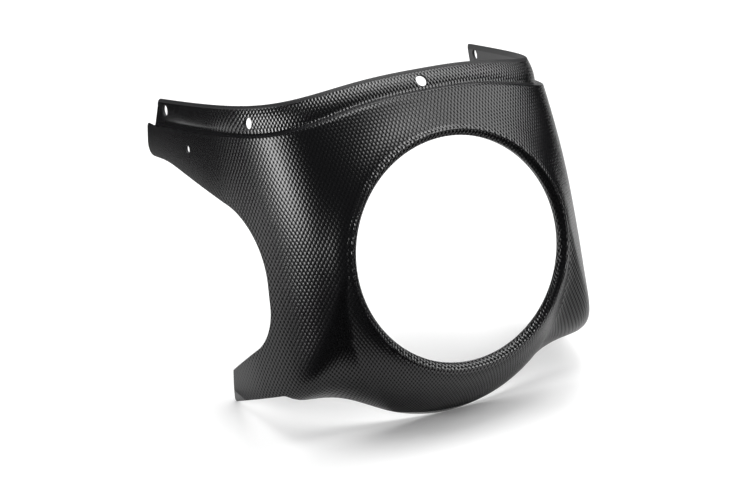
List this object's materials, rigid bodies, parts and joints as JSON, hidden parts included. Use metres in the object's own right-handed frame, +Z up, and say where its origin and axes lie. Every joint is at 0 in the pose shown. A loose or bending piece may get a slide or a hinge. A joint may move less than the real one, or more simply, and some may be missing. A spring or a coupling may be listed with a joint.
{
  "type": "half fairing",
  "caption": "One-piece motorbike half fairing: a moulded shell with a round lamp opening, stepped windscreen flange, side arms with mounting holes, fork cut-outs and a bowl under the lamp.",
  "frame": {"origin": "on the ground, under the middle of the box, standing on the chin and the two lower tabs", "axes": "+Z up, -Y towards the front with the lamp opening, +X to the right seen from the front"},
  "size_m": [0.327, 0.3146, 0.283],
  "materials": {
    "shell": "black plastic sheet with an embossed woven carbon look outside"
  },
  "bodies": {
    "root": {"fairing_shell": "shell"}
  },
  "joints": []
}
